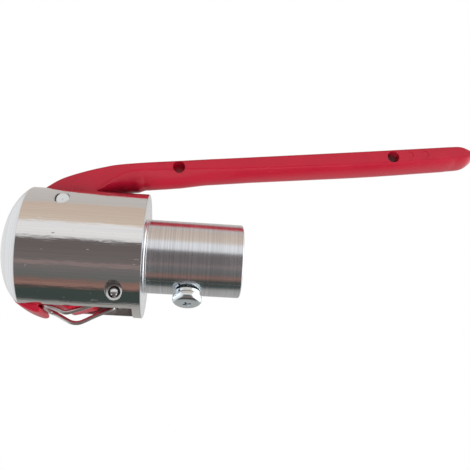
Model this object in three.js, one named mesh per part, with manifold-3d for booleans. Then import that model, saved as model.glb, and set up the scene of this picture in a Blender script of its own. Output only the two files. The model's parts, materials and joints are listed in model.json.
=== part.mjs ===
// Squeeze-lever pull head for a pole: a turned and slotted aluminium head with a pole socket,
// a moulded lever on a cross pin, a wire return spring, and a pull rod that runs into the socket.
// Millimetres. The origin is the centre of the socket's mouth, on the head's axis.
// +X points out of the mouth, +Z points to the lever, and the slot lies in the XZ plane.

import * as THREE from "three";
import { mergeVertices } from "three/addons/utils/BufferGeometryUtils.js";
import Module from "manifold-3d";

const wasm = await Module();
wasm.setup();

// ---------- driving dimensions ----------

const BODY_RADIUS = 22.5;
const BODY_LEFT = -75.5; // where the cylinder ends and the domed nose begins
const SHOULDER_X = -34.5;
const TUBE_RADIUS = 13.4;
const BORE_RADIUS = 10;
const BORE_DEPTH = 28;
const EDGE_BREAK = 0.4; // small chamfers on turned edges
const DOME_SEMI_RADIUS = 24; // the dome is part of an ellipsoid a little wider than the body
const DOME_SEMI_LENGTH = 14.1;
const SLOT_WIDTH = 16;
const SLOT_END_X = -37.5;
const GAP = 0.3; // between pieces that touch on the real object
const ROUND = 72; // sides of the large turned surfaces
const SMALL_ROUND = 32; // sides of pins, bores and the screw

const PIVOT = { x: -63.5, z: 14.3 };
const PIVOT_PIN_RADIUS = 2.5;
const PIVOT_BUSH_RADIUS = 4;

const ANCHOR = { x: -43.4, z: -16.3 }; // cross pin that holds the spring's open end
const ANCHOR_SLEEVE_RADIUS = 2.9;
const ANCHOR_PIN_RADIUS = 1.5;

const BLADE_WIDTH = 15.2;
const BAR_WIDTH = 13;
const LEVER_HOLE_RADIUS = 2.3;
const LEVER_HOLES = [
  { x: -24.9, z: 33.4, depth: 4 }, // blind, one in each flat
  { x: 57.2, z: 43.8, depth: BAR_WIDTH }, // right through
];

const ROD_RADIUS = 3;
const ROD_BUSH_RADIUS = 5;
const ROD_EYE_RADIUS = 5;
const ROD_EYE_THICKNESS = 6;
const ROD_END_X = -19;
const ROD_PIN = { x: PIVOT.x, z: 0 };
const ROD_PIN_RADIUS = 1.5;
const NUT = { x0: -25.5, x1: -20.5, radius: 5.77 }; // hexagon, radius to its corners

const WIRE_RADIUS = 0.75;
const SPRING_HALF_WIDTH = 6; // from the slot's middle to each leg

const SCREW = { x: -18.9, tilt: 14 }; // degrees from -Z towards the front, -Y
const SCREW_RADIUS = 2.5;
const SCREW_HEAD_RADIUS = 5.2;
const SCREW_HEAD_HEIGHT = 3.1;
const SCREW_HEAD_SIDE = 1.2; // straight side below the crown
const RECESS = { span: 4.6, arm: 0.9, depth: 1.7 };
const WASHER_RADIUS = 4.6;
const WASHER_THICKNESS = 1.2;

// ---------- materials ----------

const finishes = {
  aluminium: { color: 0xc9c5c0, roughness: 0.28, metalness: 1 },
  plastic: { color: 0xc8202c, roughness: 0.38, metalness: 0 },
  steel: { color: 0xb9bbbd, roughness: 0.25, metalness: 1 },
  zinc: { color: 0xc4ccd2, roughness: 0.22, metalness: 1 },
  bronze: { color: 0xa9834f, roughness: 0.4, metalness: 1 },
};

// ---------- solids ----------

/** A closed three.js geometry as a solid that can be joined and cut. */
function solid(geometry) {
  const bare = geometry.index ? geometry.toNonIndexed() : geometry.clone();
  bare.deleteAttribute("normal");
  bare.deleteAttribute("uv");
  const merged = mergeVertices(bare, 1e-4);
  return new wasm.Manifold(
    new wasm.Mesh({
      numProp: 3,
      vertProperties: merged.attributes.position.array,
      triVerts: new Uint32Array(merged.index.array),
    }),
  );
}

/** A solid as a three.js geometry, which is what a THREE.Mesh shows. */
function geometryOf(body) {
  const mesh = body.getMesh();
  const geometry = new THREE.BufferGeometry();
  geometry.setAttribute("position", new THREE.BufferAttribute(mesh.vertProperties, 3));
  geometry.setIndex(new THREE.BufferAttribute(mesh.triVerts, 1));
  geometry.computeVertexNormals();
  return geometry;
}

/** Turned about the X axis: profile points are [x, radius], in order from left to right. */
function turned(profile, sides = ROUND) {
  const points = profile.map(([x, r]) => new THREE.Vector2(r, x));
  return new THREE.LatheGeometry(points, sides).rotateZ(-Math.PI / 2);
}

/** A cylinder along X, from x0 to x1. */
function rodX(x0, x1, radius, sides = SMALL_ROUND) {
  const length = x1 - x0;
  const shape = new THREE.CylinderGeometry(radius, radius, length, sides);
  return shape.rotateZ(Math.PI / 2).translate((x0 + x1) / 2, 0, 0);
}

/** A cylinder along Y through (x, z), from y0 to y1. */
function rodY({ x, z }, y0, y1, radius, sides = SMALL_ROUND) {
  const shape = new THREE.CylinderGeometry(radius, radius, y1 - y0, sides);
  return shape.translate(x, (y0 + y1) / 2, z);
}

function block(x0, x1, y0, y1, z0, z1) {
  const shape = new THREE.BoxGeometry(x1 - x0, y1 - y0, z1 - z0);
  return shape.translate((x0 + x1) / 2, (y0 + y1) / 2, (z0 + z1) / 2);
}

/** A side outline in XZ, given as a THREE.Shape in (x, z), made `width` thick about Y = 0. */
function plate(shape, width, crownDepth, crownHeight, crownSteps) {
  const geometry = new THREE.ExtrudeGeometry(shape, {
    depth: width - 2 * crownDepth,
    bevelEnabled: crownDepth > 0,
    bevelThickness: crownDepth,
    bevelSize: crownHeight,
    bevelOffset: 0,
    bevelSegments: crownSteps,
    curveSegments: 6,
  });
  geometry.translate(0, 0, -width / 2 + crownDepth);
  return geometry.rotateX(Math.PI / 2);
}

/** A smooth line through [x, z] points, sampled. */
function smooth(points, steps) {
  const line = new THREE.SplineCurve(points.map(([x, z]) => new THREE.Vector2(x, z)));
  return line.getPoints(steps);
}

// ---------- head ----------

/** Axial drop of the dome below its own centre plane at a radius. */
function domeX(radius) {
  const rise = (r) => DOME_SEMI_LENGTH * Math.sqrt(1 - (r / DOME_SEMI_RADIUS) ** 2);
  return BODY_LEFT - (rise(radius) - rise(BODY_RADIUS));
}

function headBody() {
  const profile = [];
  const domeSteps = 14;
  for (let i = 0; i <= domeSteps; i++) {
    const r = BODY_RADIUS * Math.sin(((i / domeSteps) * Math.PI) / 2);
    profile.push([domeX(r), r]);
  }
  profile.push(
    [SHOULDER_X - EDGE_BREAK, BODY_RADIUS],
    [SHOULDER_X, BODY_RADIUS - EDGE_BREAK],
    [SHOULDER_X, TUBE_RADIUS + EDGE_BREAK],
    [SHOULDER_X + EDGE_BREAK, TUBE_RADIUS],
    [-EDGE_BREAK, TUBE_RADIUS],
    [0, TUBE_RADIUS - EDGE_BREAK],
    [0, BORE_RADIUS + EDGE_BREAK],
    [-EDGE_BREAK, BORE_RADIUS],
    [-BORE_DEPTH, BORE_RADIUS],
    [-BORE_DEPTH, ROD_BUSH_RADIUS + GAP],
    [SLOT_END_X - GAP, ROD_BUSH_RADIUS + GAP],
    [SLOT_END_X - GAP, 0],
  );
  let head = solid(turned(profile));
  const reach = BODY_RADIUS + 5;
  const slot = block(BODY_LEFT - 20, SLOT_END_X, -SLOT_WIDTH / 2, SLOT_WIDTH / 2, -reach, reach);
  head = head.subtract(solid(slot));
  const pinBore = rodY(PIVOT, -reach, reach, PIVOT_PIN_RADIUS + GAP);
  const anchorBore = rodY(ANCHOR, -reach, reach, ANCHOR_SLEEVE_RADIUS + GAP);
  head = head.subtract(solid(pinBore)).subtract(solid(anchorBore));
  const screwHole = new THREE.CylinderGeometry(SCREW_RADIUS + GAP, SCREW_RADIUS + GAP, 12, SMALL_ROUND);
  screwHole.rotateX(Math.PI / 2).translate(0, 0, -(BORE_RADIUS + TUBE_RADIUS) / 2);
  placeScrew(screwHole);
  return head.subtract(solid(screwHole));
}

/** Turns a piece built pointing down -Z into the clamp screw's own direction. */
function placeScrew(geometry) {
  geometry.rotateX(-THREE.MathUtils.degToRad(SCREW.tilt));
  return geometry.translate(SCREW.x, 0, 0);
}

// ---------- lever ----------

/** The flat plate that turns in the slot, with the nose that hooks the spring. */
function bladeShape() {
  const back = smooth([[-71.4, 21.3], [-67.4, 24.3], [-57.8, 28.6], [-46.7, 31.9], [-26, 34.6]], 12);
  const underside = smooth([[-26, 32.6], [-36, 31.2], [-41, 30.3], [-47, 27.3], [-54.4, 21.8]], 10);
  const rear = smooth([[-54.4, 21.8], [-53, 8], [-51.4, -6], [-51, -17.8]], 6);
  const front = smooth([[-77.6, -18], [-80.2, -9], [-80.2, 4], [-77.2, 13.5], [-71.4, 21.3]], 10);
  const shape = new THREE.Shape(back);
  underside.forEach((p) => shape.lineTo(p.x, p.y));
  rear.slice(1).forEach((p) => shape.lineTo(p.x, p.y));
  shape.quadraticCurveTo(-51, -20.1, -53, -20.1);
  shape.lineTo(-67.9, -20.1);
  shape.quadraticCurveTo(-69.3, -20.1, -69.3, -21.4);
  shape.quadraticCurveTo(-69.3, -22.6, -68.5, -22.7);
  shape.lineTo(-67.5, -22.8);
  shape.quadraticCurveTo(-67.7, -23.5, -69.1, -23.4);
  shape.quadraticCurveTo(-74.2, -22.6, -77.6, -18);
  front.slice(1, -1).forEach((p) => shape.lineTo(p.x, p.y));
  return shape;
}

/** The side flats of the hand bar: its top and bottom crowns stand out from this outline. */
function barShape() {
  const tip = { x: 88.3, z: 48.3 };
  const top = smooth([[-46, 30.7], [-34, 32.8], [-17, 35.5], [2, 38], [44, 43.5], [80, 48.5]], 14);
  const under = smooth([[80, 46.2], [44, 41], [2, 36.1], [-17, 33.3], [-34, 31.2], [-46, 29.2]], 14);
  const shape = new THREE.Shape(top);
  shape.quadraticCurveTo(tip.x, 50.2, tip.x, tip.z);
  shape.quadraticCurveTo(tip.x - 0.6, 47, 80, 46.2);
  under.slice(1).forEach((p) => shape.lineTo(p.x, p.y));
  return shape;
}

/** The belly under the bar's root, which thickens the lever where it leaves the slot. */
function bellyShape() {
  const line = smooth([[-10, 33.2], [-24, 30.1], [-35, 28.1], [-38, 27.7], [-42, 26.3], [-49, 25.3]], 16);
  const shape = new THREE.Shape(line);
  shape.lineTo(-49, 31);
  shape.lineTo(-24, 33);
  return shape;
}

/** The blade's plan seen from above: full width in the slot, then narrowing into the bar. */
function bladePlan() {
  const full = BLADE_WIDTH / 2;
  const narrow = BAR_WIDTH / 2;
  const shape = new THREE.Shape();
  shape.moveTo(-90, -full);
  shape.lineTo(-46, -full);
  shape.quadraticCurveTo(-38, -full, -25, -narrow + 0.4);
  shape.lineTo(-25, narrow - 0.4);
  shape.quadraticCurveTo(-38, full, -46, full);
  shape.lineTo(-90, full);
  const plan = new THREE.ExtrudeGeometry(shape, { depth: 90, bevelEnabled: false, curveSegments: 6 });
  return plan.translate(0, 0, -40);
}

function lever() {
  const plateSolid = solid(plate(bladeShape(), BLADE_WIDTH, 0.6, 0.35, 2));
  const blade = plateSolid.intersect(solid(bladePlan()));
  const bar = solid(plate(barShape(), BAR_WIDTH, 5, 1.9, 5));
  const belly = solid(plate(bellyShape(), BAR_WIDTH - 0.6, 4.6, 2, 4));
  let body = blade.add(bar).add(belly);
  const reach = BAR_WIDTH;
  const bores = [
    rodY(PIVOT, -reach, reach, PIVOT_BUSH_RADIUS + GAP),
    rodY(ROD_PIN, -reach, reach, ROD_PIN_RADIUS + GAP),
    ...LEVER_HOLES.flatMap((hole) => {
      const floor = BAR_WIDTH / 2 - hole.depth;
      return [rodY(hole, floor, reach, LEVER_HOLE_RADIUS), rodY(hole, -reach, -floor, LEVER_HOLE_RADIUS)];
    }),
  ];
  const eyeSlot = ROD_EYE_THICKNESS / 2 + GAP;
  const eyeRoom = ROD_EYE_RADIUS + 1;
  bores.push(block(PIVOT.x - eyeRoom, -40, -eyeSlot, eyeSlot, -eyeRoom, eyeRoom));
  bores.forEach((bore) => {
    body = body.subtract(solid(bore));
  });
  return body;
}

// ---------- pins, bushes and rod ----------

/** Where a cross hole at height z comes out of the round body. */
function halfChord(z) {
  return Math.sqrt(BODY_RADIUS ** 2 - z ** 2);
}

/** A ring along Y: a tube of the two radii, from y0 to y1. */
function ringY(place, y0, y1, outer, inner) {
  const tube = solid(rodY(place, y0, y1, outer));
  return tube.subtract(solid(rodY(place, y0 - 1, y1 + 1, inner)));
}

/** A cross pin cut to the round of the body, so that its ends lie flush. */
function pivotPin() {
  const reach = halfChord(PIVOT.z) + 2;
  const pin = solid(rodY(PIVOT, -reach, reach, PIVOT_PIN_RADIUS));
  return pin.intersect(solid(rodX(BODY_LEFT, SHOULDER_X, BODY_RADIUS - 0.05, ROUND)));
}

function anchorSleeve(side) {
  const outer = halfChord(ANCHOR.z) + 2;
  const inner = SLOT_WIDTH / 2 - 0.5;
  const [y0, y1] = side < 0 ? [-outer, -inner] : [inner, outer];
  const sleeve = ringY(ANCHOR, y0, y1, ANCHOR_SLEEVE_RADIUS, ANCHOR_PIN_RADIUS + GAP);
  return sleeve.intersect(solid(rodX(BODY_LEFT, SHOULDER_X, BODY_RADIUS - 0.2, ROUND)));
}

function pullRod() {
  const shank = solid(rodX(PIVOT.x + 3, ROD_END_X, ROD_RADIUS));
  const half = ROD_EYE_THICKNESS / 2;
  const eye = solid(rodY(ROD_PIN, -half, half, ROD_EYE_RADIUS));
  const hole = solid(rodY(ROD_PIN, -half - 1, half + 1, ROD_PIN_RADIUS + GAP));
  return shank.add(eye).subtract(hole);
}

function rodGuideBush() {
  const outer = solid(rodX(SLOT_END_X + GAP, -BORE_DEPTH - GAP, ROD_BUSH_RADIUS));
  return outer.subtract(solid(rodX(SLOT_END_X - 1, -BORE_DEPTH + 1, ROD_RADIUS + GAP)));
}

function couplingNut() {
  const nut = solid(rodX(NUT.x0, NUT.x1, NUT.radius, 6));
  return nut.subtract(solid(rodX(NUT.x0 - 1, NUT.x1 + 1, ROD_RADIUS + GAP)));
}

// ---------- spring ----------

/** One wire: an eye round each end of the anchor pin, two V legs, and a bar across the nose. */
function returnSpring() {
  const y = SPRING_HALF_WIDTH;
  const eye = ANCHOR_PIN_RADIUS + WIRE_RADIUS + GAP;
  const leg = [
    [ANCHOR.x + eye, ANCHOR.z],
    [ANCHOR.x + eye * 0.7, ANCHOR.z + eye * 0.7],
    [ANCHOR.x, ANCHOR.z + eye],
    [ANCHOR.x - eye * 0.8, ANCHOR.z + eye * 0.6],
    [ANCHOR.x - eye * 1.1, ANCHOR.z - 0.6],
    [-50.8, -21.3],
    [-56.4, -24.2],
    [-58.6, -24.6],
    [-60.8, -24],
    [-64.4, -21.9],
  ];
  const near = leg.map(([x, z]) => new THREE.Vector3(x, -y, z));
  const far = leg.map(([x, z]) => new THREE.Vector3(x, y, z)).reverse();
  const nose = [
    new THREE.Vector3(-67.3, -y + 0.8, -21.6),
    new THREE.Vector3(-67.9, -y + 2.6, -21.6),
    new THREE.Vector3(-67.9, y - 2.6, -21.6),
    new THREE.Vector3(-67.3, y - 0.8, -21.6),
  ];
  const route = new THREE.CatmullRomCurve3([...near, ...nose, ...far], false, "centripetal");
  const section = new THREE.Shape().absarc(0, 0, WIRE_RADIUS, 0, 2 * Math.PI);
  const wire = new THREE.ExtrudeGeometry(section, {
    steps: 84,
    curveSegments: 4,
    bevelEnabled: false,
    extrudePath: route,
  });
  return solid(wire);
}

// ---------- clamp screw ----------

/** Pan head with a crowned top, pointing down -Z before it is placed. */
function clampScrew() {
  const seat = TUBE_RADIUS + GAP + WASHER_THICKNESS + GAP;
  const top = seat + SCREW_HEAD_HEIGHT;
  const outline = [
    [BORE_RADIUS - 0.6, 0],
    [BORE_RADIUS - 0.6, SCREW_RADIUS - 0.6],
    [BORE_RADIUS, SCREW_RADIUS],
    [seat, SCREW_RADIUS],
    [seat, SCREW_HEAD_RADIUS - 0.3],
    [seat + 0.3, SCREW_HEAD_RADIUS],
    [seat + SCREW_HEAD_SIDE, SCREW_HEAD_RADIUS],
  ];
  const crownSteps = 6;
  for (let i = 1; i <= crownSteps; i++) {
    const turn = ((i / crownSteps) * Math.PI) / 2;
    const x = seat + SCREW_HEAD_SIDE + (SCREW_HEAD_HEIGHT - SCREW_HEAD_SIDE) * Math.sin(turn);
    const r = i === crownSteps ? 0 : SCREW_HEAD_RADIUS * Math.cos(turn) ** 0.6;
    outline.push([x, r]);
  }
  const screw = solid(placeScrew(turned(outline, SMALL_ROUND).rotateY(Math.PI / 2)));
  const cut = (wide, deep) =>
    placeScrew(block(-wide / 2, wide / 2, -deep / 2, deep / 2, -top - 1, -top + RECESS.depth));
  const arms = solid(cut(RECESS.span, RECESS.arm)).add(solid(cut(RECESS.arm, RECESS.span)));
  return screw.subtract(arms);
}

/** Split spring washer: a ring with one slanted cut. */
function lockWasher() {
  const near = TUBE_RADIUS + GAP;
  const tube = new THREE.Shape().absarc(0, 0, WASHER_RADIUS, 0, 2 * Math.PI);
  tube.holes.push(new THREE.Path().absarc(0, 0, SCREW_RADIUS + GAP, 0, 2 * Math.PI, true));
  const ring = new THREE.ExtrudeGeometry(tube, {
    depth: WASHER_THICKNESS,
    bevelEnabled: false,
    curveSegments: SMALL_ROUND / 2,
  });
  ring.translate(0, 0, -near - WASHER_THICKNESS);
  const split = block(-0.5, 0.5, 0, 8, -near - 3, -near + 2);
  split.rotateZ(2.6);
  return solid(placeScrew(ring)).subtract(solid(placeScrew(split)));
}

// ---------- the assembly ----------

const group = new THREE.Group();
group.name = "lever_head";

function add(name, body, finish) {
  const mesh = new THREE.Mesh(geometryOf(body), new THREE.MeshStandardMaterial(finishes[finish]));
  mesh.name = name;
  group.add(mesh);
}

const slotHalf = SLOT_WIDTH / 2;
const bladeHalf = BLADE_WIDTH / 2;
const anchorReach = halfChord(ANCHOR.z) - 2.2;

add("head_body", headBody(), "aluminium");
add("lever", lever(), "plastic");
add("pivot_pin", pivotPin(), "steel");
add("pivot_bush", ringY(PIVOT, -bladeHalf, bladeHalf, PIVOT_BUSH_RADIUS, PIVOT_PIN_RADIUS + GAP), "bronze");
add("anchor_sleeve_front", anchorSleeve(-1), "steel");
add("anchor_sleeve_rear", anchorSleeve(1), "steel");
add("anchor_pin", solid(rodY(ANCHOR, -anchorReach, anchorReach, ANCHOR_PIN_RADIUS)), "steel");
add("return_spring", returnSpring(), "steel");
add("pull_rod", pullRod(), "steel");
add("rod_pin", solid(rodY({ x: PIVOT.x, z: 0 }, -slotHalf + 0.4, slotHalf - 0.4, ROD_PIN_RADIUS)), "steel");
add("rod_guide_bush", rodGuideBush(), "bronze");
add("rod_coupling_nut", couplingNut(), "zinc");
add("clamp_screw", clampScrew(), "zinc");
add("lock_washer", lockWasher(), "zinc");

export default group;
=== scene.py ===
# %% [markdown]
# # A squeeze-lever head, finished in Blender
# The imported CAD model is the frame: it says where every piece is and which body it moves with.
# This lesson rebuilds each visible piece with a finer surface, in the same place, and gives it a
# finish. Everything is built in millimetres and scaled to metres when a piece is done.

import json
import math

import bmesh
import bpy
from mathutils import Matrix, Vector


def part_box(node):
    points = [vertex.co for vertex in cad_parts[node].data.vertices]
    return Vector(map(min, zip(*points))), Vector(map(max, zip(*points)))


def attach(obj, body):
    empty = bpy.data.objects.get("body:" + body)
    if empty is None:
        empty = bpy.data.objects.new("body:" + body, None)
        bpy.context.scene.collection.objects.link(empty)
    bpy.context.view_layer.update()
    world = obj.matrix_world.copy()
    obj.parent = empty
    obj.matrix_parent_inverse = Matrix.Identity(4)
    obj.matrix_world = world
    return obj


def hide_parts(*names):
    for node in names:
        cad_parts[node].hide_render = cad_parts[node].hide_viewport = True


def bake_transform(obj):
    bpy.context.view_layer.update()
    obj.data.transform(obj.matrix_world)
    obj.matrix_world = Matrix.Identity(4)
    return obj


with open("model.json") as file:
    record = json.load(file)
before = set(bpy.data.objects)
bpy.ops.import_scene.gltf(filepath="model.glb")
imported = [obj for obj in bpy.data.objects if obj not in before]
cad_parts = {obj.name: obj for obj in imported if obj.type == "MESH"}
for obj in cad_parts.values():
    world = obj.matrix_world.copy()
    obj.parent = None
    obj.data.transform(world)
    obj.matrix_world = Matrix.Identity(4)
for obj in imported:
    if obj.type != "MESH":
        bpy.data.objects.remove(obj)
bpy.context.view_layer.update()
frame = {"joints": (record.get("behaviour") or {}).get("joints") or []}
MM = 0.001

# %% [markdown]
# ## The camera
# A catalogue picture of a small part is taken from close by, so its perspective shows: the near rim
# of the head looks larger than the far one. The camera hangs a little under the head's axis, and it
# is turned, tipped and rolled by a few degrees. Building the turn as a product of simple rotations
# keeps each of those angles readable.

# %% Camera
VIEW_DISTANCE = 0.2207  # from the head's axis
VIEW_ALONG = -0.01847  # along the axis, from the socket's mouth
VIEW_UNDER = math.radians(14.8)
VIEW_TURN = math.radians(4.08)
VIEW_TIP = math.radians(2.52)
VIEW_ROLL = math.radians(3.39)

lens = bpy.data.cameras.new("camera")
lens.sensor_width = 36
lens.lens = 45.96
lens.clip_start = 0.01
camera = bpy.data.objects.new("camera", lens)
bpy.context.scene.collection.objects.link(camera)
under = Matrix.Rotation(VIEW_UNDER, 4, "X")
place = Matrix.Translation((VIEW_ALONG, 0, 0)) @ under @ Matrix.Translation((0, -VIEW_DISTANCE, 0))
aim = Matrix.Rotation(-VIEW_TURN, 4, "Z") @ Matrix.Rotation(VIEW_TIP, 4, "X")
level = Matrix.Rotation(-VIEW_ROLL, 4, "Y") @ Matrix.Rotation(math.pi / 2, 4, "X")
camera.matrix_world = place @ aim @ level
bpy.context.scene.camera = camera
print("camera at", [round(v, 4) for v in camera.matrix_world.translation])

# %% [markdown]
# ## Sizes from the frame
# The joints give the pivots, and the boxes of the CAD nodes give the turned sizes. Only the small
# features that no box can tell, such as an edge's rounding, are stated here.

# %% Sizes


def middle(node):
    """A node's centre at rest, in millimetres."""
    low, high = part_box(node)
    return (low + high) / 2 / MM


def joint_point(name):
    """The point that a hinge turns about, in millimetres."""
    joint = next(j for j in frame["joints"] if j["name"] == name)
    return Vector(joint["pos_m"]) / MM


head_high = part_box("head_body")[1] / MM
BODY_RADIUS = head_high.z
BODY_LEFT = -75.5
SHOULDER = -34.5
TUBE_RADIUS = 13.4
BORE_RADIUS = 10.0
BORE_DEPTH = 28.0
SLOT_HALF = 8.0
SLOT_END = -37.5
DOME_SEMI_RADIUS = 24.0
DOME_SEMI_LENGTH = 14.1
PIVOT = joint_point("lever_squeeze")
ANCHOR = middle("anchor_pin")
ROD_PIN = middle("rod_pin")
SCREW_AXIS = Vector(next(j for j in frame["joints"] if j["name"] == "screw_turn")["axis"])
SCREW_X = joint_point("screw_turn").x
SCREW_RADIUS = 2.5
BLADE_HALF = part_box("lever")[1].y / MM
BAR_HALF = 6.5
print("body radius", round(BODY_RADIUS, 2), "pivot", PIVOT, "blade half width", round(BLADE_HALF, 2))

# %% [markdown]
# ## Helpers for mesh work
# A turned piece is one profile spun about an axis, so one helper makes them all. Cross holes and
# slots are cut with boolean modifiers, which are applied at once, because a finished piece should be
# plain mesh. Hard corners are marked sharp by their angle, so that round faces shade smoothly.

# %% Mesh helpers
SHARP = math.radians(32)


def spun(profile, steps=96, axis=(1, 0, 0), centre=(0, 0, 0)):
    """A closed profile chain of (along, radius) pairs, spun about the X axis."""
    bm = bmesh.new()
    points = [bm.verts.new((x, 0, r)) for x, r in profile]
    chain = [bm.edges.new(pair) for pair in zip(points, points[1:])]
    bmesh.ops.spin(bm, geom=points + chain, cent=(0, 0, 0), axis=(1, 0, 0), dvec=(0, 0, 0),
                   angle=2 * math.pi, steps=steps, use_merge=True, use_duplicate=False)
    bmesh.ops.remove_doubles(bm, verts=bm.verts, dist=0.0005)
    bmesh.ops.recalc_face_normals(bm, faces=bm.faces)
    turn = Vector((1, 0, 0)).rotation_difference(Vector(axis)).to_matrix().to_4x4()
    bm.transform(Matrix.Translation(centre) @ turn)
    return bm


def cylinder(radius, start, end, segments=64):
    """A plain round bar between two points, for cutting."""
    start, end = Vector(start), Vector(end)
    along = end - start
    turn = Vector((0, 0, 1)).rotation_difference(along).to_matrix().to_4x4()
    bm = bmesh.new()
    bmesh.ops.create_cone(bm, cap_ends=True, segments=segments, radius1=radius, radius2=radius,
                          depth=along.length, matrix=Matrix.Translation((start + end) / 2) @ turn)
    return bm


def cone(radius_start, radius_end, start, end, segments=64):
    """A round taper between two points, for countersinks."""
    start, end = Vector(start), Vector(end)
    along = end - start
    turn = Vector((0, 0, 1)).rotation_difference(along).to_matrix().to_4x4()
    bm = bmesh.new()
    bmesh.ops.create_cone(bm, cap_ends=True, segments=segments, radius1=radius_start,
                          radius2=radius_end, depth=along.length,
                          matrix=Matrix.Translation((start + end) / 2) @ turn)
    return bm


def cuboid(low, high):
    """A box between two corners."""
    low, high = Vector(low), Vector(high)
    size = Matrix.Diagonal((*(high - low), 1))
    bm = bmesh.new()
    bmesh.ops.create_cube(bm, size=1, matrix=Matrix.Translation((low + high) / 2) @ size)
    return bm


def object_of(bm, name):
    """A bmesh in millimetres as an object, still in millimetres."""
    mesh = bpy.data.meshes.new(name)
    bm.to_mesh(mesh)
    bm.free()
    thing = bpy.data.objects.new(name, mesh)
    bpy.context.scene.collection.objects.link(thing)
    return thing


def combined(bm, tools, operation="DIFFERENCE"):
    """The bmesh after each tool is cut from it, joined to it or crossed with it."""
    thing = object_of(bm, "work")
    helpers = []
    for tool in tools:
        helper = object_of(tool, "tool")
        helpers.append(helper)
        step = thing.modifiers.new("step", "BOOLEAN")
        step.operation = operation
        step.solver = "EXACT"
        step.object = helper
    bpy.context.view_layer.update()
    ready = thing.evaluated_get(bpy.context.evaluated_depsgraph_get())
    result = bmesh.new()
    result.from_mesh(ready.data)
    for item in [thing, *helpers]:
        bpy.data.objects.remove(item)
    bmesh.ops.remove_doubles(result, verts=result.verts, dist=0.001)
    return result


def finished(bm, name, body, finishes, stands_for=None, choose=None, sharp=SHARP):
    for face in bm.faces:
        face.smooth = True
        face.material_index = choose(face) if choose else 0
    for edge in bm.edges:
        if len(edge.link_faces) == 2:
            edge.smooth = edge.calc_face_angle(0) < sharp
    bmesh.ops.scale(bm, vec=(MM, MM, MM), verts=bm.verts)
    piece = object_of(bm, name)
    for finish in finishes:
        piece.data.materials.append(finish)
    if body:
        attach(piece, body)
    if stands_for:
        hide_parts(*stands_for)
    print(name, "-", len(piece.data.polygons), "faces")
    return piece


def smooth_line(points, steps):
    """A Catmull-Rom line through 2D points, with `steps` pieces between each pair."""
    path = [Vector(p) for p in points]
    path = [2 * path[0] - path[1], *path, 2 * path[-1] - path[-2]]
    line = []
    for a, b, c, d in zip(path, path[1:], path[2:], path[3:]):
        for i in range(steps):
            t = i / steps
            line.append(0.5 * (2 * b + (c - a) * t + (2 * a - 5 * b + 4 * c - d) * t * t
                               + (3 * b - a - 3 * c + d) * t ** 3))
    return [*line, path[-2]]


def ease(value, low, high):
    """0 before low, 1 after high, and a smooth step between them."""
    t = max(0.0, min(1.0, (value - low) / (high - low)))
    return t * t * (3 - 2 * t)


# %% [markdown]
# ## Finishes
# Bright aluminium has almost no colour of its own: it shows what stands around it, blurred by the
# marks of the tool. So each metal is a Principled surface with full metalness, a roughness that
# varies a little, and a fine bump whose direction follows how the surface was made. Turned faces
# have rings round the axis, a drawn bar has streaks along it, and a milled slot has crossing arcs.

# %% Node helpers


class Finish:
    """A material being wired up: `add` makes a node, and `link` joins two sockets."""

    def __init__(self, name, color, metallic, roughness):
        self.material = bpy.data.materials.new(name)
        self.material.use_nodes = True
        self.tree = self.material.node_tree
        self.shader = self.tree.nodes["Principled BSDF"]
        self.shader.inputs["Base Color"].default_value = (*color, 1)
        self.shader.inputs["Metallic"].default_value = metallic
        self.shader.inputs["Roughness"].default_value = roughness
        self.place = self.add("ShaderNodeTexCoord").outputs["Object"]

    def add(self, kind, **settings):
        node = self.tree.nodes.new(kind)
        for key, value in settings.items():
            if key in node.inputs:
                node.inputs[key].default_value = value
            else:
                setattr(node, key, value)
        return node

    def link(self, output, target):
        self.tree.links.new(output, target)

    def stretched(self, scale):
        """The object's coordinates, scaled by a different amount on each axis."""
        node = self.add("ShaderNodeMapping")
        node.inputs["Scale"].default_value = scale
        self.link(self.place, node.inputs["Vector"])
        return node.outputs["Vector"]

    def noise(self, vector, scale=1.0, detail=3.0, rough=0.5):
        node = self.add("ShaderNodeTexNoise", Scale=scale, Detail=detail, Roughness=rough)
        self.link(vector, node.inputs["Vector"])
        return node.outputs["Fac"]

    def ramp(self, value, stops):
        node = self.add("ShaderNodeValToRGB")
        elements = node.color_ramp.elements
        for i, (spot, shade) in enumerate(stops):
            element = elements[i] if i < 2 else elements.new(spot)
            element.position = spot
            element.color = (*shade, 1) if isinstance(shade, tuple) else (shade, shade, shade, 1)
        self.link(value, node.inputs["Fac"])
        return node.outputs["Color"]

    def math(self, operation, a, b=0.0):
        node = self.add("ShaderNodeMath", operation=operation)
        for socket, value in zip(node.inputs, (a, b)):
            if isinstance(value, (int, float)):
                socket.default_value = value
            else:
                self.link(value, socket)
        return node.outputs[0]

    def spread(self, value, low, high):
        """Maps a 0 to 1 value to a low to high one."""
        node = self.add("ShaderNodeMapRange")
        node.inputs["To Min"].default_value = low
        node.inputs["To Max"].default_value = high
        self.link(value, node.inputs["Value"])
        return node.outputs["Result"]

    def roughness(self, value, low, high):
        self.link(self.spread(value, low, high), self.shader.inputs["Roughness"])

    def color(self, output):
        self.link(output, self.shader.inputs["Base Color"])

    def mixed(self, factor, a, b):
        """Colour a where the factor is 0 and colour b where it is 1."""
        node = self.add("ShaderNodeMix", data_type="RGBA")
        self.link(factor, node.inputs["Factor"])
        for name, value in (("A", a), ("B", b)):
            socket = next(s for s in node.inputs if s.name == name and s.type == "RGBA")
            if isinstance(value, tuple):
                socket.default_value = (*value, 1)
            else:
                self.link(value, socket)
        return next(s for s in node.outputs if s.type == "RGBA")

    def bump(self, height, strength, distance, after=None):
        node = self.add("ShaderNodeBump", Strength=strength, Distance=distance)
        self.link(height, node.inputs["Height"])
        if after:
            self.link(after, node.inputs["Normal"])
        self.link(node.outputs["Normal"], self.shader.inputs["Normal"])
        return node.outputs["Normal"]


# %% Aluminium finishes
ALUMINIUM = (0.86, 0.85, 0.83)


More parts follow.
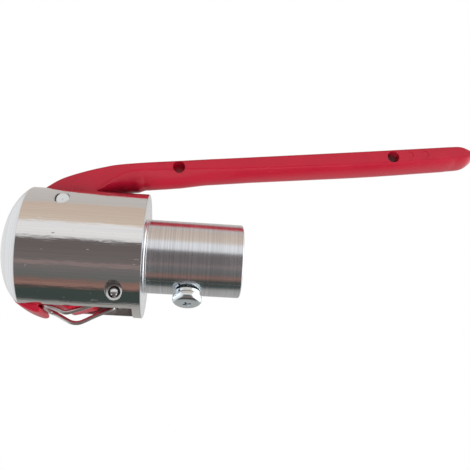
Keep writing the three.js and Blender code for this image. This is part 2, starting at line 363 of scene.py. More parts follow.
def scuffed(finish, amount, after):
    """Small dents and hair scratches from handling, as a last layer of bump."""
    patches = finish.noise(finish.stretched((260, 900, 900)), detail=2)
    marks = finish.ramp(patches, [(0.71, 0.0), (0.75, 1.0)])
    return finish.bump(marks, amount, 0.00006, after)


def drawn_bar():
    """The outside of the big cylinder: a light skim cut over drawn bar."""
    finish = Finish("drawn_bar_aluminium", ALUMINIUM, 1.0, 0.16)
    rings = finish.noise(finish.stretched((9000, 12, 12)), detail=2)
    streaks = finish.noise(finish.stretched((18, 2600, 2600)), detail=4, rough=0.6)
    cloud = finish.noise(finish.place, scale=70, detail=3)
    finish.roughness(cloud, 0.07, 0.15)
    finish.color(finish.mixed(streaks, (0.72, 0.71, 0.70), (0.93, 0.92, 0.90)))
    waves = finish.noise(finish.stretched((70, 190, 190)), detail=3, rough=0.6)
    layer = finish.bump(rings, 0.14, 0.00002)
    layer = finish.bump(waves, 0.35, 0.0003, layer)
    layer = finish.bump(streaks, 0.3, 0.00004, layer)
    scuffed(finish, 0.8, layer)
    return finish.material


def turned(name, depth, low, high, tint=ALUMINIUM):
    """A lathe finish: fine rings round the axis, on cylinders and on flat faces alike."""
    finish = Finish(name, tint, 1.0, low)
    split = finish.add("ShaderNodeSeparateXYZ")
    finish.link(finish.place, split.inputs[0])
    x, y, z = split.outputs
    radius = finish.math("SQRT", finish.math("ADD", finish.math("MULTIPLY", y, y),
                                             finish.math("MULTIPLY", z, z)))
    feed = finish.add("ShaderNodeCombineXYZ")
    finish.link(finish.math("MULTIPLY", x, 1000.0), feed.inputs[0])
    finish.link(finish.math("MULTIPLY", radius, 1000.0), feed.inputs[1])
    fine = finish.noise(feed.outputs[0], scale=6.0, detail=2)
    beat = finish.noise(feed.outputs[0], scale=2.2, detail=3, rough=0.7)
    rings = finish.math("ADD", fine, beat)
    finish.roughness(finish.noise(finish.stretched((1800, 90, 90)), detail=2), low, high)
    shade = tuple(c * 0.84 for c in tint)
    tone = finish.ramp(beat, [(0.4, 0.0), (0.6, 1.0)])
    finish.color(finish.mixed(tone, shade, tint))
    layer = finish.bump(rings, depth, 0.00004)
    scuffed(finish, 0.2, layer)
    return finish.material


def milled():
    """Slot walls: crossing cutter marks, a little duller than the turned faces."""
    finish = Finish("milled_aluminium", (0.66, 0.64, 0.62), 1.0, 0.35)
    marks = finish.noise(finish.stretched((1700, 60, 500)), detail=3, rough=0.65)
    finish.roughness(marks, 0.28, 0.46)
    finish.color(finish.mixed(marks, (0.52, 0.50, 0.48), (0.74, 0.72, 0.70)))
    finish.bump(marks, 0.3, 0.00004)
    return finish.material


DRAWN = drawn_bar()
TURNED = turned("turned_aluminium", 0.2, 0.17, 0.27, (0.83, 0.85, 0.88))
DOMED = turned("turned_dome_aluminium", 0.16, 0.30, 0.40, (0.84, 0.84, 0.84))
MILLED = milled()
print("aluminium finishes:", [m.name for m in (DRAWN, TURNED, DOMED, MILLED)])

# %% [markdown]
# The lever is moulded plastic, coloured right through. Its gloss is uneven, because the mould's
# polish is, and handling leaves paler scuffs on it. The small steel pieces differ in how bright they
# are: ground pins, blue zinc on the screw, drawn wire on the spring and a dull rod.

# %% Plastic and steel finishes


def moulded_red():
    finish = Finish("moulded_red_plastic", (0.55, 0.010, 0.024), 0.0, 0.33)
    cloud = finish.noise(finish.place, scale=55, detail=4, rough=0.6)
    fine = finish.noise(finish.place, scale=1500, detail=2)
    scuffs = finish.noise(finish.stretched((90, 420, 420)), detail=5, rough=0.7)
    worn = finish.ramp(scuffs, [(0.62, 0.0), (0.78, 1.0)])
    body = finish.mixed(cloud, (0.33, 0.002, 0.018), (0.46, 0.006, 0.028))
    finish.color(finish.mixed(finish.math("MULTIPLY", worn, 0.3), body, (0.66, 0.08, 0.10)))
    finish.roughness(finish.math("ADD", finish.math("MULTIPLY", worn, 0.4), cloud), 0.2, 0.42)
    finish.shader.inputs["Specular IOR Level"].default_value = 0.42
    layer = finish.bump(cloud, 0.06, 0.0004)
    finish.bump(fine, 0.08, 0.00003, layer)
    return finish.material


def bright_metal(name, tint, low, high, grain, depth):
    """A small steel piece: grain is the scale of its marks on each axis."""
    finish = Finish(name, tint, 1.0, low)
    marks = finish.noise(finish.stretched(grain), detail=3, rough=0.6)
    cloud = finish.noise(finish.place, scale=400, detail=2)
    finish.roughness(cloud, low, high)
    shade = tuple(c * 0.86 for c in tint)
    finish.color(finish.mixed(marks, shade, tint))
    finish.bump(marks, depth, 0.00003)
    return finish.material


RED = moulded_red()
PIN = bright_metal("ground_pin_steel", (0.82, 0.83, 0.82), 0.12, 0.22, (2500, 2500, 2500), 0.15)
ZINC = bright_metal("blue_zinc_plate", (0.84, 0.91, 0.94), 0.16, 0.26, (1200, 1200, 1200), 0.12)
WIRE = bright_metal("drawn_spring_wire", (0.78, 0.75, 0.73), 0.26, 0.38, (150, 3500, 3500), 0.25)
ROD = bright_metal("drawn_rod_steel", (0.56, 0.57, 0.58), 0.25, 0.38, (40, 2500, 2500), 0.2)
BRONZE = bright_metal("sintered_bronze", (0.55, 0.37, 0.19), 0.34, 0.5, (1900, 1900, 1900), 0.4)
print("plastic and steel finishes:", [m.name for m in (RED, PIN, ZINC, WIRE, ROD, BRONZE)])

# %% [markdown]
# ## The head
# On the bench this is one bar of aluminium. A lathe makes the domed nose, the cylinder, the
# shoulder and the socket tube in one setting, so one spun profile makes them here. A slot is then
# milled from the nose to just short of the shoulder, which leaves two cheeks, and the cross holes
# are drilled through both.

# %% Head profile


def dome_x(radius):
    """Where the domed nose stands at a radius: part of an ellipsoid wider than the bar."""
    def rise(r):
        return DOME_SEMI_LENGTH * math.sqrt(1 - (r / DOME_SEMI_RADIUS) ** 2)
    return BODY_LEFT - (rise(radius) - rise(BODY_RADIUS))


DOME_STEPS = 40
DOME_EDGE = BODY_RADIUS - 0.12
dome = [DOME_EDGE * math.sin(i / DOME_STEPS * math.pi / 2) for i in range(DOME_STEPS)]
head_profile = [(dome_x(r), r) for r in dome] + [
    (BODY_LEFT, BODY_RADIUS - 0.12),
    (BODY_LEFT + 0.1, BODY_RADIUS),
    (SHOULDER - 0.35, BODY_RADIUS),
    (SHOULDER - 0.1, BODY_RADIUS - 0.1),
    (SHOULDER, BODY_RADIUS - 0.35),
    (SHOULDER, TUBE_RADIUS + 1.1),
    (SHOULDER - 0.25, TUBE_RADIUS + 0.7),
    (SHOULDER - 0.25, TUBE_RADIUS + 0.1),
    (SHOULDER + 0.1, TUBE_RADIUS - 0.15),
    (SHOULDER + 0.6, TUBE_RADIUS - 0.15),
    (SHOULDER + 0.8, TUBE_RADIUS),
    (-0.7, TUBE_RADIUS),
    (-0.25, TUBE_RADIUS - 0.16),
    (0, TUBE_RADIUS - 0.6),
    (0, BORE_RADIUS + 0.5),
    (-0.5, BORE_RADIUS),
    (-BORE_DEPTH + 0.6, BORE_RADIUS),
    (-BORE_DEPTH, BORE_RADIUS - 0.6),
    (-BORE_DEPTH, 5.6),
    (-BORE_DEPTH - 0.3, 5.3),
    (SLOT_END - 0.3, 5.3),
    (SLOT_END - 0.3, 0),
]
print("head profile:", len(head_profile), "points")

# %% Head solid, slot and holes
FAR = BODY_RADIUS + 4
PIVOT_HOLE_RADIUS = 2.62
ANCHOR_HOLE_RADIUS = 2.95
SCREW_PLAY = 0.25
EDGE_BREAK = 0.22


def across(place, radius, reach=FAR):
    """A cross hole through both cheeks at a place in the XZ plane."""
    return cylinder(radius, (place.x, -reach, place.z), (place.x, reach, place.z))


def edge_breaks():
    """Square bars, laid on the slot's long edges and turned 45 degrees, that take the burr off."""
    edge_z = math.sqrt(BODY_RADIUS ** 2 - SLOT_HALF ** 2)
    for side in (-1, 1):
        for up in (-1, 1):
            bm = cuboid((BODY_LEFT + 1, -EDGE_BREAK, -EDGE_BREAK), (SLOT_END, EDGE_BREAK, EDGE_BREAK))
            spot = Matrix.Translation((0, side * SLOT_HALF, up * edge_z))
            bm.transform(spot @ Matrix.Rotation(math.radians(side * up * 11 + 45), 4, "X"))
            yield bm


screw_foot = Vector((SCREW_X, 0, 0))
head = spun(head_profile, steps=240)
head = combined(head, [cuboid((-99, -SLOT_HALF, -FAR), (SLOT_END, SLOT_HALF, FAR))])
head = combined(head, [across(PIVOT, PIVOT_HOLE_RADIUS), across(ANCHOR, ANCHOR_HOLE_RADIUS)])
head = combined(head, [cylinder(SCREW_RADIUS + SCREW_PLAY, screw_foot + SCREW_AXIS * 5,
                                screw_foot + SCREW_AXIS * 20)])
head = combined(head, list(edge_breaks()))


def head_region(face):
    """Which finish a face of the head takes: bar, turned, dome or slot."""
    middle_of = face.calc_center_median()
    radius = math.hypot(middle_of.y, middle_of.z)
    if abs(face.normal.x) < 0.02 and abs(abs(middle_of.y) - SLOT_HALF) < 0.02:
        return 3
    if middle_of.x < SLOT_END + 0.01 and radius < BODY_RADIUS - 0.4 and face.normal.x > -0.05:
        return 3
    if middle_of.x < BODY_LEFT:
        return 2
    if radius > BODY_RADIUS - 0.05 and middle_of.x < SHOULDER - 0.3:
        return 0
    return 1


finished(head, "head", "head", [DRAWN, TURNED, DOMED, MILLED],
         stands_for=["head_body"], choose=head_region)

# %% [markdown]
# ## The lever
# The lever is one moulding: a flat blade that swings in the slot, and a bar for the hand. Both have
# flat sides, and the bar's top and underside are crowned. So the piece starts as the outline of
# those flat sides, extruded across, and the band between them is then pushed out into a crown whose
# height changes along the lever. It is deepest under the root, where the bending load is. At the
# bottom of the blade, the nose curls back to hold the spring, and a low rib stands behind it.

# %% Lever outline
top_edge = smooth_line([(-71.2, 21.2), (-67.3, 24.2), (-63.2, 26.3), (-57.7, 28.5), (-52.3, 30.3),
                        (-46.7, 31.8), (-36, 33.5), (-17, 36.2), (1.5, 38.6), (44, 44.2),
                        (80, 49.1)], 5)
tip = smooth_line([(80, 49.1), (84.6, 49.5), (87.8, 48.4), (88.4, 47.5), (86.6, 46.6),
                   (80.6, 45.6)], 5)
under_edge = smooth_line([(80.6, 45.5), (43.9, 40.2), (1.6, 35.3), (-17, 33.5), (-29, 32.3),
                          (-36, 31.6), (-40, 30.9), (-43.6, 29.8), (-47.2, 27.8), (-50.7, 25.0),
                          (-54.2, 21.4)], 5)
rear_edge = smooth_line([(-54.2, 21.4), (-53.4, 8), (-51.6, -6), (-51, -17.6), (-51.6, -19.4),
                         (-52.4, -19.7)], 4)
rib = smooth_line([(-53.6, -19.9), (-58.2, -21.2), (-59.6, -21.2), (-61.6, -20.2)], 3)
hook = smooth_line([(-67.4, -19.7), (-68.6, -20.0), (-69.2, -20.8), (-69.3, -21.6), (-68.4, -22.3),
                    (-68.5, -22.9), (-69.8, -23.0), (-73.0, -22.0), (-76.2, -20.3), (-77.9, -18)], 3)
front_edge = smooth_line([(-77.9, -18), (-80.2, -9), (-80.6, -2), (-80.2, 4), (-77.1, 13.4),
                          (-71.2, 21.2)], 5)
outline = top_edge[:-1] + tip[:-1] + under_edge[:-1] + rear_edge + rib + hook[:-1] + front_edge[:-1]
print("lever outline:", len(outline), "points")

# %% Lever solid
EDGE_ROUND = 1.2
ARC_ROWS, CROWN_ROWS = 5, 7
UNDER = [(-54.5, 1.0), (-50, 3.2), (-46, 5.1), (-41, 6.0), (-38, 5.4), (-36, 5.5), (-30, 5.3),
         (-24, 5.0), (-15, 3.9), (2, 3.0), (30, 2.5), (90, 2.3)]


def lever_half_width(x):
    """Half the lever's width: the blade fills the slot, and the bar is narrower."""
    return BLADE_HALF - (BLADE_HALF - BAR_HALF) * ease(x, -50, -22)


def between(table, x):
    """A straight-line reading of a small table of (x, value) pairs."""
    for (x0, v0), (x1, v1) in zip(table, table[1:]):
        if x <= x1:
            return v0 + (v1 - v0) * max(0.0, (x - x0) / (x1 - x0))
    return table[-1][1]


def crown_section(half, depth):
    """The (across, outward) points from one flat to the lever's middle.

    An arc takes the corner off the flat, and a curve carries on from it to the full depth."""
    fold = min(EDGE_ROUND, 0.8 * depth)
    turn = math.atan2(half, 2.4 * (depth - 0.5 * fold))
    arc = [(half - fold * (1 - math.cos(a)), fold * math.sin(a))
           for a in (turn * i / ARC_ROWS for i in range(ARC_ROWS + 1))]
    y1, h1 = arc[-1]
    power = max(1.6, y1 / (math.tan(turn) * (depth - h1)))
    curve = [(y1 * (1 - k), h1 + (depth - h1) * (1 - (1 - k) ** power))
             for k in (i / CROWN_ROWS for i in range(1, CROWN_ROWS + 1))]
    return arc + curve


def lever_blank():
    """The outline as a plate, cut into strips and with its rim divided across."""
    bm = bmesh.new()
    edge = [bm.verts.new((x, -1, z)) for x, z in outline]
    face = bm.faces.new(edge)
    grown = bmesh.ops.extrude_face_region(bm, geom=[face])
    bmesh.ops.translate(bm, vec=(0, 2, 0),
                        verts=[g for g in grown["geom"] if isinstance(g, bmesh.types.BMVert)])
    for x in range(-78, 88, 3):
        bmesh.ops.bisect_plane(bm, geom=bm.verts[:] + bm.edges[:] + bm.faces[:], dist=0.0001,
                               plane_co=(x + 0.37, 0, 0), plane_no=(1, 0, 0))
    bmesh.ops.recalc_face_normals(bm, faces=bm.faces)
    return bm


lever = lever_blank()
outward_at = {}
for vert in lever.verts:
    rim = [f.normal for f in vert.link_faces if abs(f.normal.y) < 0.5]
    if rim:
        outward_at[round(vert.co.x, 3), round(vert.co.z, 3)] = sum(rim, Vector()).normalized()
crossing = [e for e in lever.edges if abs(e.verts[0].co.y - e.verts[1].co.y) > 1]
HALF_ROWS = ARC_ROWS + CROWN_ROWS
bmesh.ops.subdivide_edges(lever, edges=crossing, cuts=2 * HALF_ROWS - 1, use_grid_fill=True)
for vert in lever.verts:
    spot = vert.co.copy()
    half = lever_half_width(spot.x)
    row = round((1 - abs(spot.y)) * HALF_ROWS)
    out = outward_at.get((round(spot.x, 3), round(spot.z, 3)))
    on_bar = ease(spot.x, -55, -51) if spot.z > 18 else 0.0
    if out and out.z > 0:
        depth = 0.55 + 0.65 * ease(spot.x, -50, -30) * on_bar
    else:
        depth = 0.55 + (between(UNDER, spot.x) - 0.55) * on_bar
    across_to, outward = crown_section(half, depth)[row]
    if out:
        vert.co += out * outward
    vert.co.y = math.copysign(across_to, spot.y)
bmesh.ops.recalc_face_normals(lever, faces=lever.faces)
print("lever blank:", len(lever.faces), "faces")

# %% [markdown]
# The moulding has two cross holes in the bar, the left one blind from both sides. There is a pivot
# bore for its bush, a bore for the rod's pin and a slot where the rod's eye turns. The shallow round
# marks are where the ejector pins pushed the part out of its mould.

# %% Lever holes and ejector marks
BUSH_BORE_RADIUS = 4.15
ROD_PIN_BORE_RADIUS = 1.7
EYE_SLOT_HALF = 3.3
BAR_HOLES = [(-24.9, 33.4, 2.25, 4.0), (57.2, 43.8, 2.3, 13.0)]  # x, z, radius, depth
EJECTOR_MARKS = [(-31.6, 33.2), (63.8, 45.0), (69.9, 45.8)]


def marks(side):
    """Shallow discs in one flat side of the bar."""
    for x, z in EJECTOR_MARKS:
        skin = lever_half_width(x)
        yield cylinder(1.5, (x, side * (skin - 0.16), z), (x, side * (skin + 2), z), 40)


lever_cuts = [cylinder(r, (x, s * (BAR_HALF - depth), z), (x, s * 20, z))
              for x, z, r, depth in BAR_HOLES for s in (-1, 1)]
lever_cuts += [across(PIVOT, BUSH_BORE_RADIUS), across(ROD_PIN, ROD_PIN_BORE_RADIUS)]
lever_cuts += [cuboid((PIVOT.x - 6, -EYE_SLOT_HALF, -6), (-40, EYE_SLOT_HALF, 6))]
lever = combined(lever, lever_cuts)
lever = combined(lever, [*marks(-1), *marks(1)])
finished(lever, "lever_moulding", "lever", [RED], stands_for=["lever"],
         sharp=math.radians(38))

# %% [markdown]
# ## Pins, sleeves and bushes
# The pivot pin is pressed through both cheeks and ends square, with a centre mark. The body curves
# away past it, so the pin stands a little proud at its top and sits below the surface at its foot.
# The spring's pin sits inside two sleeves. They end square too, so their rings show in the holes.

# %% Pins and sleeves


def cross_bar(place, profile, steps=64):
    """A profile of (along Y, radius) pairs, spun about Y at a place in the XZ plane."""
    return spun(profile, steps, axis=(0, 1, 0), centre=(place.x, 0, place.z))


PIN_END = 15.6
pin_side = [(PIN_END + 0.1, 0), (PIN_END + 0.08, 1.3), (PIN_END, 2.15), (PIN_END - 0.35, 2.5)]
pivot_pin = cross_bar(PIVOT, [(-y, r) for y, r in pin_side] + pin_side[::-1])
punches = [cone(0.05, 0.4, (PIVOT.x, s * (PIN_END - 0.15), PIVOT.z),
                (PIVOT.x, s * (PIN_END + 0.5), PIVOT.z), 24) for s in (-1, 1)]
pivot_pin = combined(pivot_pin, punches)
finished(pivot_pin, "pivot_pin_ground", "head", [PIN], stands_for=["pivot_pin"])

SLEEVE_OUT, SLEEVE_IN = 2.9, 2.0
SLEEVE_END = 12.2
for side, label in ((-1, "front"), (1, "rear")):
    ring = cross_bar(ANCHOR, [(side * 7.6, SLEEVE_IN), (side * 7.6, SLEEVE_OUT),
                              (side * (SLEEVE_END - 0.1), SLEEVE_OUT),
                              (side * SLEEVE_END, SLEEVE_OUT - 0.1),
                              (side * SLEEVE_END, SLEEVE_IN + 0.1),
                              (side * (SLEEVE_END - 0.1), SLEEVE_IN),
                              (side * 7.6, SLEEVE_IN)])
    finished(ring, "anchor_sleeve_" + label + "_fine", "head", [PIN],
             stands_for=["anchor_sleeve_" + label])

anchor_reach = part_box("anchor_pin")[1].y / MM
anchor_pin = cross_bar(ANCHOR, [(-anchor_reach - 0.2, 0), (-anchor_reach, 1.15),
                                (-anchor_reach + 0.3, 1.42), (anchor_reach - 0.3, 1.42),
                                (anchor_reach, 1.15), (anchor_reach + 0.2, 0)])
finished(anchor_pin, "anchor_pin_fine", "head", [PIN], stands_for=["anchor_pin"])

pin_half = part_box("rod_pin")[1].y / MM
rod_pin = cross_bar(ROD_PIN, [(-pin_half, 0), (-pin_half, 1.2), (-pin_half + 0.3, 1.5),
                              (pin_half - 0.3, 1.5), (pin_half, 1.2), (pin_half, 0)])
finished(rod_pin, "rod_pin_fine", "lever", [PIN], stands_for=["rod_pin"])

bush_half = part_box("pivot_bush")[1].y / MM
pivot_bush = cross_bar(PIVOT, [(-bush_half, 2.7), (-bush_half, 3.8), (-bush_half + 0.2, 4.0),
                               (bush_half - 0.2, 4.0), (bush_half, 3.8), (bush_half, 2.7),
                               (-bush_half, 2.7)])
finished(pivot_bush, "pivot_bush_fine", "lever", [BRONZE], stands_for=["pivot_bush"])

# %% [markdown]
# ## The pull rod
# The rod carries the lever's pull down the pole. Its eye turns on the pin in the blade, its shank
# runs in a bronze bush in the head's web, and its end is threaded for a coupling nut. The thread's
# ridges are rings in the spun profile, which at this size look the same as a helix.

# %% Rod, bush and nut
rod_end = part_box("pull_rod")[1].x / MM
THREAD_FROM = rod_end - 9.0
PITCH = 1.0
shank = [(PIVOT.x + 3, 0), (PIVOT.x + 3, 3.0), (THREAD_FROM - 0.5, 3.0)]
for i in range(int((rod_end - THREAD_FROM) / PITCH)):
    start = THREAD_FROM + i * PITCH
    shank += [(start, 2.55), (start + 0.12 * PITCH, 2.55), (start + 0.45 * PITCH, 2.98),
              (start + 0.62 * PITCH, 2.98)]
shank += [(rod_end - 0.4, 2.6), (rod_end, 2.2), (rod_end, 0)]
rod = spun(shank, 64)
eye = cross_bar(ROD_PIN, [(-3, 0), (-3, 4.7), (-2.7, 5.0), (2.7, 5.0), (3, 4.7), (3, 0)])
rod = combined(rod, [eye], "UNION")
rod = combined(rod, [across(ROD_PIN, 1.75)])
finished(rod, "pull_rod_threaded", "rod", [ROD], stands_for=["pull_rod"])

bush_low, bush_high = (corner.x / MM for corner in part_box("rod_guide_bush"))
guide = spun([(bush_low, 3.25), (bush_low, 4.8), (bush_low + 0.2, 5.0), (bush_high - 0.2, 5.0),
              (bush_high, 4.8), (bush_high, 3.5), (bush_high - 0.25, 3.25), (bush_low, 3.25)], 64)
finished(guide, "rod_guide_bush_fine", "head", [BRONZE], stands_for=["rod_guide_bush"])

nut_low, nut_high = (corner.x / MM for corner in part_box("rod_coupling_nut"))
NUT_CORNER_RADIUS = 5.77  # a 10 mm hexagon
nut = bmesh.new()
bmesh.ops.create_cone(nut, cap_ends=True, segments=6, radius1=NUT_CORNER_RADIUS,
                      radius2=NUT_CORNER_RADIUS,
                      depth=nut_high - nut_low,
                      matrix=Matrix.Translation(((nut_low + nut_high) / 2, 0, 0))
                      @ Matrix.Rotation(math.pi / 2, 4, "Y"))
crown = spun([(nut_low, 0), (nut_low, 5.0), (nut_low + 0.5, 5.85), (nut_high - 0.5, 5.85),
              (nut_high, 5.0), (nut_high, 0)], 96)
nut = combined(nut, [crown], "INTERSECT")
nut = combined(nut, [cylinder(3.1, (nut_low - 1, 0, 0), (nut_high + 1, 0, 0))])
finished(nut, "rod_coupling_nut_fine", "rod", [ZINC],
         stands_for=["rod_coupling_nut"])

# %% [markdown]
# ## The return spring
# One length of wire makes it: an eye round each end of the pin, two legs bent into a shallow V, and
# a bar that hooks behind the lever's nose. Squeezing the lever pulls that bar away from the pin and
# opens the V. In Blender the wire is a curve with a round bevel, made a mesh.

# %% Spring
WIRE_RADIUS = 0.78
LEG = 6.0


NEAR_BENDS = [(-46, -18.2), (-50.7, -19.8), (-55, -21.6), (-58.6, -22.85), (-59.8, -23.1),
              (-61.1, -22.75), (-63.6, -21.75), (-66.6, -20.95)]
FAR_BENDS = [(-45.3, -18.9), (-51.1, -21.5), (-55.6, -24.1), (-57, -24.6), (-58.2, -24.75),
             (-59.6, -24.6), (-60.9, -24.1), (-64.6, -22.2), (-66.9, -21.3)]


def leg_route(side, bends):
    """One leg, from its eye round the pin's end to the lever's nose."""
    eye_radius = 1.42 + WIRE_RADIUS + 0.1
    turns = [(ANCHOR.x + eye_radius * math.cos(a), ANCHOR.z + eye_radius * math.sin(a))
             for a in (math.radians(d) for d in range(-60, 240, 20))]
    drift = 1.4 / len(turns)
    coil = [(x, side * (LEG - 1.4 + i * drift), z) for i, (x, z) in enumerate(turns)]
    return coil + [(x, side * LEG, z) for x, z in bends]


bar_x, bar_z = -67.75, -21.25
near_leg = leg_route(-1, NEAR_BENDS)
far_leg = leg_route(1, FAR_BENDS)
nose_bar = [(bar_x + 0.3, -LEG + 0.7, bar_z), (bar_x, -LEG + 2, bar_z), (bar_x, 0, bar_z),
            (bar_x, LEG - 2, bar_z), (bar_x + 0.3, LEG - 0.7, bar_z)]
route = near_leg + nose_bar + far_leg[::-1]
line = bpy.data.curves.new("spring_line", "CURVE")
line.dimensions = "3D"
line.bevel_depth = WIRE_RADIUS
line.bevel_resolution = 5
line.resolution_u = 6
line.use_fill_caps = True
spline = line.splines.new("NURBS")
spline.points.add(len(route) - 1)
for point, spot in zip(spline.points, route):
    point.co = (*spot, 1)
spline.order_u = 3
spline.use_endpoint_u = True
wire_curve = bpy.data.objects.new("spring_line", line)
bpy.context.scene.collection.objects.link(wire_curve)
bpy.context.view_layer.update()
wire = bmesh.new()
wire.from_mesh(wire_curve.to_mesh())
wire_curve.to_mesh_clear()
bpy.data.objects.remove(wire_curve)
bmesh.ops.remove_doubles(wire, verts=wire.verts, dist=0.001)
bmesh.ops.recalc_face_normals(wire, faces=wire.faces)
spring = finished(wire, "return_spring_wire", None, [WIRE],
                  stands_for=["return_spring"])
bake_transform(spring)

# %% [markdown]
# ## The clamp screw and its washer
# A pan head has a short straight side and a crowned top, with a cross recess whose arms narrow as
# they go down. The lock washer is a square-section ring with a cut through one side. Both are
# built pointing along X and then turned to the screw's own axis.

# %% Clamp screw
CLEARANCE = 0.3
WASHER_THICKNESS = 1.2
seat = TUBE_RADIUS + CLEARANCE + WASHER_THICKNESS + CLEARANCE
HEAD_RADIUS = 5.2
HEAD_HEIGHT = 3.0
SIDE = 1.3
CROWN_POWER = 0.38  # lower is boxier
CROWN_STEPS = 14
crown_profile = [
    (seat + SIDE + (HEAD_HEIGHT - SIDE) * math.sin(i / CROWN_STEPS * math.pi / 2),
     HEAD_RADIUS * math.cos(i / CROWN_STEPS * math.pi / 2) ** CROWN_POWER)
    for i in range(CROWN_STEPS + 1)
]
SCREW_PITCH = 0.8
thread = [(BORE_RADIUS - 0.6, 0), (BORE_RADIUS - 0.6, SCREW_RADIUS - 0.6)]
for i in range(6):
    start = BORE_RADIUS - 0.4 + i * SCREW_PITCH
    thread += [(start, SCREW_RADIUS - 0.45), (start + 0.1, SCREW_RADIUS - 0.45),
               (start + 0.36, SCREW_RADIUS - 0.03), (start + 0.5, SCREW_RADIUS - 0.03)]
screw = spun(thread + [(seat - 0.3, SCREW_RADIUS - 0.1), (seat, SCREW_RADIUS),
                       (seat, HEAD_RADIUS - 0.4), (seat + 0.12, HEAD_RADIUS - 0.12),
                       (seat + 0.4, HEAD_RADIUS)]
             + crown_profile, 96)
recess = []
for turn in (0, math.pi / 2):
    arm = cuboid((seat + 1.3, -2.4, -0.5), (seat + 6, 2.4, 0.5))
    for vert in arm.verts:
        if vert.co.x < seat + 2:
            vert.co.y *= 0.45
            vert.co.z *= 0.8
    arm.transform(Matrix.Rotation(turn + math.radians(8), 4, "X"))
    recess.append(arm)
screw = combined(screw, recess)
to_screw = Matrix.Translation(screw_foot) @ Vector((1, 0, 0)).rotation_difference(
    SCREW_AXIS).to_matrix().to_4x4()
screw.transform(to_screw)
finished(screw, "clamp_screw_fine", "screw", [ZINC],
         stands_for=["clamp_screw"])

# %% Lock washer
SPLIT_TURN = 205  # degrees round the screw to the gap
washer_low = TUBE_RADIUS + CLEARANCE
washer_high = washer_low + WASHER_THICKNESS
washer = spun([(washer_low + 0.15, 2.8), (washer_low, 2.95), (washer_low, 4.45),
               (washer_low + 0.15, 4.6), (washer_high - 0.15, 4.6), (washer_high, 4.45),
               (washer_high, 2.95), (washer_high - 0.15, 2.8), (washer_low + 0.15, 2.8)], 96)
split = cuboid((washer_low - 1, 0, -0.35), (washer_low + 3, 9, 0.35))
split.transform(Matrix.Rotation(math.radians(SPLIT_TURN), 4, "X"))
washer = combined(washer, [split])
washer.transform(to_screw)
finished(washer, "lock_washer_split", "washer", [ZINC],
         stands_for=["lock_washer"])

# %% [markdown]
# ## The studio
# Polished metal needs something to reflect. The surroundings are a band round the head's own axis:
# a white card at the front, a warm one above it, pale grey overhead, and dark ones under the bench.
# The camera itself sees plain white behind the part. The floor is pale and far enough below to stay
# soft, and three large lamps fill in the red plastic without showing up in the metal.

# %% Surroundings
BANDS = [  # degrees up from the front, and the colour seen there
    (-180, (0.46, 0.45, 0.44)), (-130, (0.42, 0.41, 0.40)),
    (-117, (0.34, 0.33, 0.32)), (-113, (0.055, 0.07, 0.067)), (-86, (0.05, 0.07, 0.062)),
    (-82, (0.08, 0.065, 0.065)), (-77, (0.33, 0.19, 0.16)), (-68, (0.24, 0.14, 0.12)),
    (-62, (0.14, 0.145, 0.14)), (-40, (0.18, 0.165, 0.165)), (-36, (0.33, 0.24, 0.23)),
    (-31, (0.17, 0.15, 0.15)), (7, (0.14, 0.12, 0.12)), (10.5, (0.84, 0.84, 0.84)),
    (36, (0.86, 0.86, 0.88)), (41, (0.68, 0.57, 0.48)), (80, (0.62, 0.50, 0.42)),
    (84, (0.58, 0.55, 0.53)), (150, (0.60, 0.57, 0.55)), (170, (0.75, 0.74, 0.73)),
    (180, (0.60, 0.59, 0.58)),
]
END_CARDS = [  # side along X, where the card starts and is full, colour
    (-1, 0.42, 0.62, (0.92, 0.93, 0.95)),
    (1, 0.50, 0.85, (2.4, 2.4, 2.4)),
]
world = bpy.data.worlds.new("studio")
bpy.context.scene.world = world
world.use_nodes = True
sky = world.node_tree
sky.nodes.clear()


def sky_node(kind, **settings):
    node = sky.nodes.new(kind)
    for key, value in settings.items():
        setattr(node, key, value)
    return node


def sky_math(operation, a, b=0.0):
    node = sky_node("ShaderNodeMath", operation=operation)
    for socket, value in zip(node.inputs, (a, b)):
        if isinstance(value, (int, float)):
            socket.default_value = value
        else:
            sky.links.new(value, socket)
    return node.outputs[0]


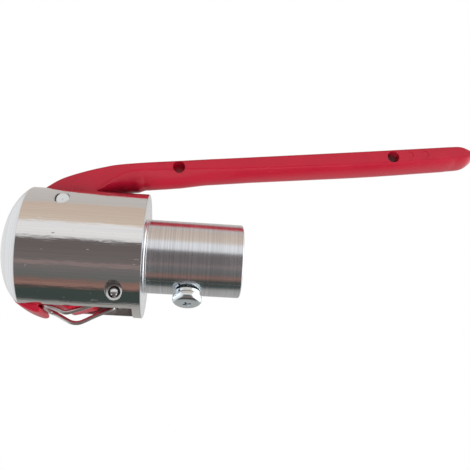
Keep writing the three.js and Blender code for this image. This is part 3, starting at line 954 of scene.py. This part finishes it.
direction = sky_node("ShaderNodeTexCoord").outputs["Generated"]
split_xyz = sky_node("ShaderNodeSeparateXYZ")
sky.links.new(direction, split_xyz.inputs[0])
side_x, side_y, side_z = split_xyz.outputs
turn_up = sky_math("ARCTAN2", side_z, sky_math("MULTIPLY", side_y, -1.0))
where = sky_math("ADD", sky_math("MULTIPLY", turn_up, 0.5 / math.pi), 0.5)
bands = sky_node("ShaderNodeValToRGB")
stops = bands.color_ramp.elements
for i, (degrees, shade) in enumerate(BANDS):
    stop = stops[i] if i < 2 else stops.new(degrees / 360 + 0.5)
    stop.position = degrees / 360 + 0.5
    stop.color = (*shade, 1)
sky.links.new(where, bands.inputs["Fac"])
mix = bands.outputs["Color"]
for sign, start, full, shade in END_CARDS:
    end_card = sky_node("ShaderNodeMapRange", interpolation_type="SMOOTHSTEP")
    end_card.inputs["From Min"].default_value = start
    end_card.inputs["From Max"].default_value = full
    sky.links.new(sky_math("MULTIPLY", side_x, sign), end_card.inputs["Value"])
    blend = sky_node("ShaderNodeMix", data_type="RGBA")
    sky.links.new(end_card.outputs["Result"], blend.inputs["Factor"])
    sky.links.new(mix, blend.inputs[6])
    blend.inputs[7].default_value = (*shade, 1)
    mix = blend.outputs[2]
around = sky_node("ShaderNodeBackground")
sky.links.new(mix, around.inputs["Color"])
plain = sky_node("ShaderNodeBackground")
plain.inputs["Color"].default_value = (1, 1, 1, 1)
chosen = sky_node("ShaderNodeMixShader")
sky.links.new(sky_node("ShaderNodeLightPath").outputs["Is Camera Ray"], chosen.inputs["Fac"])
sky.links.new(around.outputs[0], chosen.inputs[1])
sky.links.new(plain.outputs[0], chosen.inputs[2])
sky.links.new(chosen.outputs[0], sky_node("ShaderNodeOutputWorld").inputs["Surface"])
bpy.context.scene.view_settings.view_transform = "Standard"
print("surroundings:", len(BANDS), "bands")

# %% Floor and lamps
FLOOR_DROP = 0.3
FLOOR_HALF = 1.2
floor_mesh = bmesh.new()
bmesh.ops.create_grid(floor_mesh, x_segments=1, y_segments=1, size=FLOOR_HALF,
                      matrix=Matrix.Translation((0, 0, -FLOOR_DROP)))
floor = object_of(floor_mesh, "floor")
pale = Finish("pale_floor", (0.86, 0.86, 0.86), 0.0, 0.6)
paper = pale.noise(pale.place, scale=300, detail=3)
pale.color(pale.mixed(paper, (0.85, 0.85, 0.85), (0.88, 0.88, 0.88)))
floor.data.materials.append(pale.material)
floor.visible_glossy = False

LAMPS = [  # place, width, power
    ((-0.25, -0.55, 0.45), 0.5, 0.45),
    ((0.30, -0.35, -0.10), 0.4, 0.25),
    ((0.05, -0.20, -0.27), 0.3, 1.1),
]
for i, (spot, width, power) in enumerate(LAMPS):
    lamp = bpy.data.lights.new("softbox_" + str(i + 1), "AREA")
    lamp.size = width
    lamp.energy = power
    holder = bpy.data.objects.new(lamp.name, lamp)
    holder.matrix_world = Matrix.Translation(spot) @ (
        Vector(spot).to_track_quat("Z", "Y").to_matrix().to_4x4())
    holder.visible_glossy = False
    holder.visible_camera = False
    bpy.context.scene.collection.objects.link(holder)
print("floor and", len(LAMPS), "lamps")
